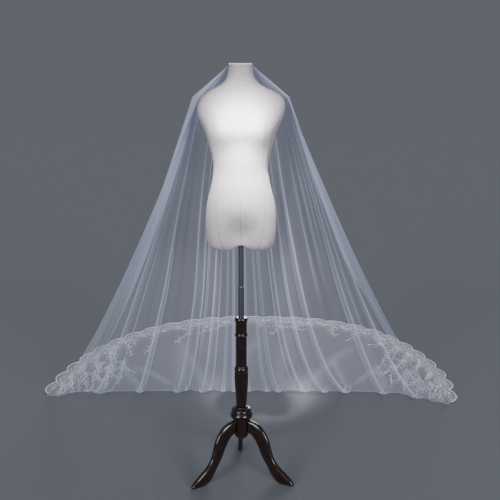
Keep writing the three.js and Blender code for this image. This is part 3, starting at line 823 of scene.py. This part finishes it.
# Low creases of the train where it lies on the floor: from and to, as share and way, half width and rise.
TRAIN_CREASES = [
    (-0.78, 0.02, -0.62, 0.52, 34, 7),
    (-0.53, 0.02, -0.66, 0.60, 30, 8),
    (-0.36, 0.02, -0.56, 0.44, 32, 10),
    (-0.33, 0.02, -0.28, 0.85, 44, 7),
    (-0.20, 0.02, -0.30, 0.60, 36, 7),
    (-0.06, 0.02, 0.04, 0.75, 46, 6),
    (0.17, 0.02, 0.10, 0.65, 38, 7),
    (0.30, 0.02, 0.45, 0.72, 40, 7),
    (0.52, 0.02, 0.34, 0.46, 32, 10),
    (0.53, 0.02, 0.68, 0.62, 32, 8),
    (0.71, 0.02, 0.60, 0.50, 34, 7),
    (0.87, 0.02, 0.76, 0.60, 36, 6),
]


def train_rise(share, way, spread):
    """Height of the lying cloth over the floor, in mm, where spread is mm for a whole share."""
    total = 0 * share
    for share_from, way_from, share_to, way_to, width, rise in TRAIN_CREASES:
        along = np.clip((way - way_from) / (way_to - way_from), 0, 1)
        middle = share_from + (share_to - share_from) * along
        ends = smooth(along * 6) * smooth((1 - along) * 3) * smooth((way_to - way) * 20 + 0.5)
        off = (share - middle) * spread / width
        total = total + rise * ends * np.exp(-(off**2))
    return total


for way in np.concatenate([np.linspace(0, 0.12, 7)[1:], np.linspace(0.12, 1, 37)[1:]]):
    base = landing + (hem - landing) * way
    spread = np.linalg.norm(np.gradient(base, share, axis=0), axis=1)
    wave = fold_push(share, 1.0) * (1 - smooth(way * 3))
    lying = base + front_of(landing) * wave[:, None]
    rise = train_rise(share, way, spread)
    lying[:, 2] = CLOTH_LIFT + rise
    rows.append(lying)
    fade = 1 - smooth(way / 0.10)
    plain = 1 + 0.3 * (np.clip(FLAT_WIDTH * 500 / spread, 1, 2) - 1)
    added = fade * (pleat_layers(share, 1.0, spread) + edge_layers(share, 1.0, spread))
    bend = FLOOR_BEND * np.exp(-((way / 0.02) ** 2))
    cover.append(hidden(plain + added + 0.16 * rise + bend))

grid = np.array(rows) / 1000 + np.array(POST)


def sheet_mesh(name, grid, cover, across, along, material):
    """A one-sided sheet from a grid of points, with its opacity and its flat lie in metres."""
    rows_count, columns_count = grid.shape[:2]
    index = np.arange(rows_count * columns_count).reshape(rows_count, columns_count)
    quads = np.stack([index[:-1, :-1], index[1:, :-1], index[1:, 1:], index[:-1, 1:]], -1).reshape(-1, 4)
    made = new_piece(name, grid.reshape(-1, 3).tolist(), [], quads.tolist())
    bpy.ops.object.shade_smooth()
    mesh = made.data
    thick = mesh.attributes.new("cover", "FLOAT", "POINT")
    thick.data.foreach_set("value", np.asarray(cover).reshape(-1).astype(np.float32))
    corners = np.zeros(len(mesh.loops), np.int32)
    mesh.loops.foreach_get("vertex_index", corners)
    flat = np.stack([across.reshape(-1)[corners], along.reshape(-1)[corners]], -1)
    layer = mesh.uv_layers.new(name="flat_lie")
    layer.data.foreach_set("uv", flat.reshape(-1).astype(np.float32))
    mesh.materials.append(material)
    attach(made, "root")
    return made


# Soft nylon tulle: a net of fine white thread that lets most light through, more solid where it is
# gathered or lies double. The real holes are about 1 mm; they are drawn 7 mm apart so that they show.
HOLE_MM = 7
tulle, shader = new_material("soft_white_tulle_painted_blue_cast")
lie = add_node(tulle, "ShaderNodeUVMap", {"uv_map": "flat_lie"}, {})
nets = []
for angle in (45, -45):
    turned = add_node(
        tulle, "ShaderNodeMapping", {}, {"Vector": lie.outputs["UV"], "Rotation": (0, 0, math.radians(angle))}
    )
    spacing = {"Vector": turned.outputs["Vector"], "Scale": 2 * math.pi / 20 / (HOLE_MM / 1000)}
    nets.append(add_node(tulle, "ShaderNodeTexWave", {}, spacing))
net = add_node(
    tulle, "ShaderNodeMath", {"operation": "MAXIMUM"}, {0: nets[0].outputs["Fac"], 1: nets[1].outputs["Fac"]}
)
thread = add_node(
    tulle, "ShaderNodeMapRange", {}, {"Value": net.outputs["Value"], "To Min": 0.85, "To Max": 1.08}
)
solid = add_node(tulle, "ShaderNodeAttribute", {"attribute_name": "cover"}, {})
add_node(
    tulle,
    "ShaderNodeMath",
    {"operation": "MULTIPLY", "use_clamp": True},
    {0: solid.outputs["Fac"], 1: thread.outputs["Result"]},
    ("Value", shader.inputs["Alpha"]),
)
# The white net is painted pale blue: a painted blue cast of the surrounding light, not the thread's own
# colour.
shader.inputs["Base Color"].default_value = colour("#dbe1ff")
shader.inputs["Roughness"].default_value = 0.6
shader.inputs["Sheen Weight"].default_value = 0.3
shader.inputs["Sheen Roughness"].default_value = 0.4

steps_along = np.linalg.norm(np.diff(grid[:, len(share) // 2], axis=0), axis=1)
lie_along = np.concatenate([[0], np.cumsum(steps_along)])[:, None] + 0 * share[None, :]
lie_across = FLAT_WIDTH / 2 * share[None, :] + 0 * lie_along
veil = sheet_mesh("veil_tulle", grid, cover, lie_across, lie_along, tulle)
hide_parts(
    "veil_left_edge",
    "veil_left_side",
    "veil_back_left",
    "veil_back_right",
    "veil_right_side",
    "veil_right_edge",
    "veil_train",
)


# The head of the veil: a narrow strip of white satin, folded over the gathered edge and sewn flat,
# which lies across the top of the neck.
satin, shader = new_material("white_satin_binding")
place = add_node(satin, "ShaderNodeTexCoord", {}, {})
# Puckers of the sewn strip, 3 mm apart.
ribs = add_node(
    satin,
    "ShaderNodeTexWave",
    {"bands_direction": "X"},
    {"Vector": place.outputs["Object"], "Scale": 2 * math.pi / 20 / 0.003, "Distortion": 2},
)
add_node(
    satin,
    "ShaderNodeBump",
    {},
    {"Height": ribs.outputs["Fac"], "Strength": 0.4, "Distance": 0.0008},
    ("Normal", shader.inputs["Normal"]),
)
shader.inputs["Base Color"].default_value = colour("#f2f2f4")
shader.inputs["Roughness"].default_value = 0.35
shader.inputs["Sheen Weight"].default_value = 0.2
low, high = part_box("veil_head_binding")
middle = (Vector(low) + Vector(high)) / 2
bpy.ops.object.select_all(action="DESELECT")
bpy.ops.mesh.primitive_cube_add(size=1, location=middle)
binding = bpy.context.active_object
binding.name = "veil_head_satin"
binding.scale = [high[i] - low[i] for i in range(3)]
bpy.ops.object.transform_apply(location=True, rotation=True, scale=True)
bpy.ops.object.mode_set(mode="EDIT")
bpy.ops.mesh.select_all(action="SELECT")
bpy.ops.mesh.bevel(offset=0.0022, segments=4, affect="EDGES")
bpy.ops.mesh.select_all(action="SELECT")
bpy.ops.mesh.subdivide(number_cuts=2)
bpy.ops.object.mode_set(mode="OBJECT")
bpy.ops.object.shade_smooth()
binding.data.materials.append(satin)
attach(binding, "root")
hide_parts("veil_head_binding")


# The lace border: a band of denser net laid on the train, cut in scallops that pass the tulle's edge.
# It is worked all over with leaves and tendrils, and the scallops are bound with a white cord.
LACE_WIDTH = 200
LACE_OVER = 0.7
SCALLOPS = 26
SCALLOP_VALLEY = 8
SCALLOP_TIP = 44
walk = np.linspace(-1, 1, 8001)
walked = hem_line(walk)
lengths = np.concatenate([[0], np.cumsum(np.linalg.norm(np.diff(walked, axis=0), axis=1))])
HEM_LENGTH = lengths[-1]
PITCH = HEM_LENGTH / SCALLOPS


def on_train(length, inward):
    """Points of the train at lengths along the hem and distances in from it, in mm, with the rise."""
    length = np.asarray(length, float)
    share = np.interp(length, lengths, walk)
    edge = hem_line(share)
    start = landing_line(share)
    reach = np.linalg.norm(start - edge, axis=-1)
    ahead = hem_line(np.interp(length + 2, lengths, walk)) - hem_line(np.interp(length - 2, lengths, walk))
    ahead = ahead / np.linalg.norm(ahead, axis=-1)[..., None]
    out = np.stack([-ahead[..., 1], ahead[..., 0], 0 * share], -1)
    part = np.clip(np.maximum(inward, 0) / reach, 0, 0.97)
    point = edge + (start - edge) * part[..., None] + out * np.maximum(-np.asarray(inward), 0)[..., None]
    near = hem_line(np.clip(share + 0.001, -1, 1)) - hem_line(np.clip(share - 0.001, -1, 1))
    point[..., 2] = CLOTH_LIFT + train_rise(share, 1 - part, np.linalg.norm(near, axis=-1) / 0.002)
    return point


def scallop_tip(length):
    round_edge = np.abs(np.sin(np.pi * np.asarray(length) / PITCH)) ** 0.7
    return SCALLOP_VALLEY + (SCALLOP_TIP - SCALLOP_VALLEY) * round_edge


# The worked net: fine white threads in an uneven mesh of small cells. Real cells are 3 mm; they are drawn
# 13 mm across so that they show.
CELL_MM = 13
lace_net, shader = new_material("white_lace_net")
lie = add_node(lace_net, "ShaderNodeUVMap", {"uv_map": "flat_lie"}, {})
cells = add_node(
    lace_net,
    "ShaderNodeTexVoronoi",
    {"feature": "DISTANCE_TO_EDGE"},
    {"Vector": lie.outputs["UV"], "Scale": 1000 / CELL_MM},
)
walls = add_node(
    lace_net,
    "ShaderNodeMapRange",
    {},
    {"Value": cells.outputs["Distance"], "From Min": 0.05, "From Max": 0.22, "To Min": 2.0, "To Max": 0.55},
)
solid = add_node(lace_net, "ShaderNodeAttribute", {"attribute_name": "cover"}, {})
add_node(
    lace_net,
    "ShaderNodeMath",
    {"operation": "MULTIPLY", "use_clamp": True},
    {0: solid.outputs["Fac"], 1: walls.outputs["Result"]},
    ("Value", shader.inputs["Alpha"]),
)
shader.inputs["Base Color"].default_value = colour("#f4f5fc")
shader.inputs["Roughness"].default_value = 0.6
shader.inputs["Sheen Weight"].default_value = 0.3

LACE_COLUMNS = SCALLOPS * 24
LACE_ROWS = 14
lace_length = np.linspace(0, HEM_LENGTH, LACE_COLUMNS + 1)
lace_share = np.interp(lace_length, lengths, walk)
room_in = np.linalg.norm(landing_line(lace_share) - hem_line(lace_share), axis=-1)
band = np.minimum(LACE_WIDTH, 0.75 * room_in)
ground = []
ground_cover = []
ground_in = []
for k in np.linspace(0, 1, LACE_ROWS):
    inward = band * (1 - k) - scallop_tip(lace_length) * k
    line = on_train(lace_length, inward)
    line[:, 2] += LACE_OVER
    ground.append(line)
    ground_in.append(inward)
    ground_cover.append(0.02 + 0.15 * smooth(k / 0.7) + 0 * lace_length)
ground = np.array(ground) / 1000 + np.array(POST)
ground_in = np.array(ground_in) / 1000
lace_ground = sheet_mesh(
    "lace_ground", ground, ground_cover, lace_length[None, :] / 1000 + 0 * ground_in, ground_in, lace_net
)
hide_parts("lace_left", "lace_back", "lace_right")

# White cotton and rayon thread, laid as cord and as close satin stitch, with a soft shine along it.
lace_thread, shader = new_material("white_lace_thread")
place = add_node(lace_thread, "ShaderNodeTexCoord", {}, {})
twist = add_node(
    lace_thread, "ShaderNodeTexNoise", {}, {"Vector": place.outputs["Object"], "Scale": 420, "Detail": 3}
)
add_node(
    lace_thread,
    "ShaderNodeValToRGB",
    {"stops": [(0.3, colour("#d2d9f2")), (0.65, colour("#f0f4ff"))]},
    {"Fac": twist.outputs["Fac"]},
    ("Color", shader.inputs["Base Color"]),
)
add_node(
    lace_thread,
    "ShaderNodeBump",
    {},
    {"Height": twist.outputs["Fac"], "Strength": 0.4, "Distance": 0.0008},
    ("Normal", shader.inputs["Normal"]),
)
shader.inputs["Roughness"].default_value = 0.5
shader.inputs["Sheen Weight"].default_value = 0.3

# A cord follows the cut edge of each scallop. Short loose ends of thread stand out from it like lashes.
cords = []
cord_length = np.linspace(0, HEM_LENGTH, SCALLOPS * 24 + 1)
CORD_MM = 3.0
line = on_train(cord_length, CORD_MM - scallop_tip(cord_length))
line[:, 2] += LACE_OVER + 0.6 * CORD_MM
cords.append(tube_rings(line / 1000 + np.array(POST), CORD_MM / 1000, 6))
LASH_STEP = 9
LASH_MM = 0.5
for k, length in enumerate(np.arange(LASH_STEP, HEM_LENGTH - LASH_STEP, LASH_STEP)):
    lean = 3 * math.sin(2.7 * k)
    tip = scallop_tip(length)
    inwards = np.array([2 - tip, -tip - 5 - 2 * math.sin(1.9 * k)])
    ends = on_train(np.array([length, length + lean]), inwards)
    ends[:, 2] += LACE_OVER + 1
    cords.append(tube_rings(ends / 1000 + np.array(POST), LASH_MM / 1000, 3))
lace_cord = joined_mesh("lace_cord", cords, lace_thread)


# The motifs keep this far inside the cord.
RIM_CLEAR = 17


def placed(length, inward, offsets, heights):
    """Points beside a place on the train: offsets run along the hem and inwards, in mm."""
    along_hem = np.clip(length + offsets[:, 0], 1, HEM_LENGTH - 1)
    spots = on_train(along_hem, np.maximum(inward + offsets[:, 1], RIM_CLEAR - scallop_tip(along_hem)))
    spots[:, 2] += LACE_OVER + 0.3 + heights
    return spots / 1000 + np.array(POST)


def petal(length, inward, angle, long, wide, hole=0.76):
    """A leaf outlined in thread: a flat pointed ring that grows from a place in a direction."""
    t = np.array([0.0, 0.18, 0.5, 0.82, 1.0, 0.82, 0.5, 0.18])
    across = np.array([0, 1, 1, 1, 0, -1, -1, -1]) * wide / 2 * np.sin(np.pi * t**0.8)
    heading = np.array([math.cos(angle), math.sin(angle)])
    side = np.array([-heading[1], heading[0]])
    outer = t[:, None] * long * heading + across[:, None] * side
    inner = 0.5 * long * heading + hole * (outer - 0.5 * long * heading)
    heights = np.array([0.3] * 8 + [1.3] * 8)
    faces = [(k, (k + 1) % 8, 8 + (k + 1) % 8, 8 + k) for k in range(8)]
    return placed(length, inward, np.vstack([outer, inner]), heights), faces


def flower(length, inward, size, turned):
    """Five petals round a bead of thread."""
    made = [petal(length, inward, turned + k * 2 * math.pi / 5, size, size * 0.62) for k in range(5)]
    angle = np.linspace(0, 2 * np.pi, 6, endpoint=False)
    rim = np.stack([np.cos(angle), np.sin(angle)], -1) * size * 0.2
    heart = placed(length, inward, np.vstack([rim, [[0, 0]]]), np.array([1.2] * 6 + [2.2]))
    made.append((heart, [(k, (k + 1) % 6, 6) for k in range(6)]))
    return made


def stem(length, inward, offsets, radius):
    line = placed(length, inward, np.array(offsets), 0.6 + 0 * np.array(offsets)[:, 0])
    return tube_rings(line, radius / 1000, 4)


def tendril(length, spot, heading, side, size):
    """A thread that curls in on itself."""
    curl = np.linspace(0, 1, 10)[:, None]
    sweep = heading + side * (0.5 + 4.2 * curl)
    hook = np.cumsum(np.hstack([np.cos(sweep), np.sin(sweep)]) * size * (1.25 - curl), axis=0)
    return stem(length, 0, np.asarray(spot) + hook, 0.6)


motifs = []
sequin_places = []


def spray(length, foot, heading, long, bend, leaf):
    """A branch of paired leaves, with a flower or a curl at every third pair, from a foot inside the hem."""
    count = max(2, int(long / (0.72 * leaf)))
    t = np.linspace(0, 1, 3 * count + 1)
    turned = heading + bend * t
    steps = np.stack([np.cos(turned), np.sin(turned)], -1) * long / (3 * count)
    path = np.array([0, foot]) + np.cumsum(steps, axis=0)
    motifs.append(stem(length, 0, path, 0.7))
    for j in range(1, count + 1):
        spot = path[3 * j]
        ahead = turned[3 * j]
        size = leaf * (1.1 - 0.45 * j / count)
        for side in (-1, 1):
            open_by = side * (0.7 + 0.2 * math.sin(2.3 * j + length))
            aim = ahead + open_by
            motifs.append(petal(length + spot[0], spot[1], aim, size, size * 0.36, 0.70))
            sequin_length = length + spot[0] + 0.5 * size * math.cos(aim)
            sequin_places.append((sequin_length, spot[1] + 0.4 * size))
        side = 1 if j % 2 else -1
        if j % 3 == 1:
            motifs.append(tendril(length, spot, ahead, side, 0.30 * leaf))
        if j % 3 == 2:
            aim = ahead + side * 1.5
            beside = spot + 0.9 * leaf * np.array([math.cos(aim), math.sin(aim)])
            motifs.extend(flower(length + beside[0], beside[1], 0.55 * leaf, 0.7 * j))
    motifs.append(petal(length + path[-1][0], path[-1][1], turned[-1], leaf * 0.8, leaf * 0.3))


CORNER_SCALLOPS = 6
for k in range(SCALLOPS):
    middle_length = (k + 0.5) * PITCH
    room_here = np.interp(middle_length, lace_length, room_in)
    lean = 0.35 * math.sin(2.1 * k + 0.4)
    # A flower fills each scallop, with leaves fanned round it that follow the cord.
    motifs += flower(middle_length, 4, 25 + 3 * math.sin(1.7 * k), lean)
    for side in (-1, 1):
        for j in range(4):
            out = 24 + 17 * j
            rim_here = 22 - float(scallop_tip(middle_length + side * out))
            fanned = math.pi / 2 - side * (0.9 - 0.2 * j)
            motifs.append(petal(middle_length + side * out, rim_here, fanned, 28, 9, 0.74))
            sequin_places.append((middle_length + side * (out + 7), rim_here + 16))
        motifs.append(tendril(middle_length, (side * 34, 12), math.pi / 2, side, 7))
        motifs.append(tendril(middle_length, (side * 62, 16), math.pi / 2 + side, -side, 7))
    if room_here < 120:
        continue
    # Two short sprays run along the hem behind the flowers, and a long one grows inwards.
    spray(middle_length, 34, 0.25 + 0.2 * math.sin(k), 88, 0.5, 24)
    spray(middle_length, 40, math.pi - 0.3 + 0.2 * math.cos(2 * k), 84, -0.6, 24)
    tall = min((330 if k % 2 else 210) * (1 + 0.2 * math.sin(2.9 * k)), 0.62 * room_here)
    slant = 0.55 * math.sin(1.3 * k + 0.7)
    spray(middle_length, 44, math.pi / 2 + slant, tall, 0.9 if k % 2 else -0.8, 36)
    # At the two front corners the sprays stand closer, and a second row fills the cloth to the floor line.
    if min(k, SCALLOPS - 1 - k) < CORNER_SCALLOPS:
        for side in (-1, 1):
            reach = min(380, 0.8 * room_here) * (1 - 0.15 * side)
            spray(middle_length + side * 46, 30, math.pi / 2 - 0.4 * side, reach, 0.5 * side, 30)
            further = min(330, 0.5 * room_here)
            spray(middle_length + side * 30, 0.4 * room_here, math.pi / 2 + 0.3 * side, further, -side, 26)
lace_motifs = joined_mesh("lace_motifs", motifs, lace_thread)

# Small clear sequins, sewn flat among the leaves, which catch the light.
sequin_film, shader = new_material("clear_white_sequin_film")
place = add_node(sequin_film, "ShaderNodeTexCoord", {}, {})
tint = add_node(sequin_film, "ShaderNodeTexNoise", {}, {"Vector": place.outputs["Object"], "Scale": 90})
add_node(
    sequin_film,
    "ShaderNodeValToRGB",
    {"stops": [(0.35, colour("#e4ecff")), (0.5, colour("#ffffff")), (0.65, colour("#ffeef6"))]},
    {"Fac": tint.outputs["Fac"]},
    ("Color", shader.inputs["Base Color"]),
)
shader.inputs["Roughness"].default_value = 0.15
shader.inputs["Metallic"].default_value = 0.4
SEQUIN_MM = 2.4
sequins = []
angle = np.linspace(0, 2 * np.pi, 8, endpoint=False)
for count, (length, inward) in enumerate(sequin_places):
    rim = np.stack([np.cos(angle), np.sin(angle)], -1) * SEQUIN_MM
    # Each lies a little askew, so that only some of them flash from any one side.
    tipped = 0.7 * math.sin(5.3 * count) * np.cos(angle - 2.9 * count)
    points = placed(length, inward, np.vstack([rim, [[0, 0]]]), np.append(1.6 + tipped, 1.4))
    sequins.append((points, [(k, (k + 1) % 8, 8) for k in range(8)]))
lace_sequins = joined_mesh("lace_sequins", sequins, sequin_film)


# Floor, light and camera: a plain matt floor and a backdrop of the same grey, with soft daylight from
# above, from both front corners and from behind, low enough to reach the two sides of the tulle. One
# small lamp over the front shapes the form.
bpy.ops.object.select_all(action="DESELECT")
bpy.ops.mesh.primitive_circle_add(vertices=96, radius=60, fill_type="NGON", location=(0, 0, -0.0005))
floor = bpy.context.active_object
floor.name = "studio_floor"
paper, shader = new_material("pale_grey_floor")
shader.inputs["Base Color"].default_value = colour("#797c83")
shader.inputs["Roughness"].default_value = 1.0
shader.inputs["Specular IOR Level"].default_value = 0.0
floor.data.materials.append(paper)

world = bpy.data.worlds.new("studio")
world.use_nodes = True
world.node_tree.nodes["Background"].inputs["Color"].default_value = colour("#8b8f98")
world.node_tree.nodes["Background"].inputs["Strength"].default_value = 0.48
bpy.context.scene.world = world

# Each row: name, strength, tilt from straight down, turn from the front, and how soft, in degrees.
DAYLIGHT = [
    ("high_daylight", 0.35, 38, -25, 40),
    ("low_daylight_left", 1.4, 76, -34, 24),
    ("low_daylight_right", 1.6, 76, 34, 24),
    ("back_daylight", 1.7, 68, 168, 30),
]
for name, power, down, aside, soft in DAYLIGHT:
    daylight = bpy.data.lights.new(name, "SUN")
    daylight.energy = power
    daylight.angle = math.radians(soft)
    sun = bpy.data.objects.new(name, daylight)
    sun.rotation_euler = (math.radians(down), 0, math.radians(aside))
    bpy.context.collection.objects.link(sun)

LAMP_AT = Vector((-0.11, -1.99, 2.61))
LAMP_TO = Vector((-0.03, -1.18, 1.46))
lamp_disc = bpy.data.lights.new("overhead", "AREA")
lamp_disc.shape = "DISK"
lamp_disc.size = 0.20
lamp_disc.energy = 1.85
lamp_disc.spread = math.radians(13)
lamp = bpy.data.objects.new("overhead", lamp_disc)
lamp.location = LAMP_AT
lamp.rotation_euler = (LAMP_TO - LAMP_AT).to_track_quat("-Z", "Y").to_euler()
lamp.visible_camera = False
bpy.context.collection.objects.link(lamp)

CAMERA_OUT = 2.587
CAMERA_UP = 1.531
CAMERA_ACROSS = 0.037
FOCAL_PIXELS = 640
FRAME_PIXELS = 500
HORIZON_PIXELS = 130
SENSOR_MM = 36
camera_data = bpy.data.cameras.new("camera")
camera_data.sensor_width = SENSOR_MM
camera_data.lens = SENSOR_MM * FOCAL_PIXELS / FRAME_PIXELS
camera = bpy.data.objects.new("camera", camera_data)
camera.location = (POST.x + CAMERA_ACROSS, POST.y - CAMERA_OUT, CAMERA_UP)
camera.rotation_euler = (math.pi / 2 - math.atan(HORIZON_PIXELS / FOCAL_PIXELS), 0, 0)
bpy.context.collection.objects.link(camera)
bpy.context.scene.camera = camera
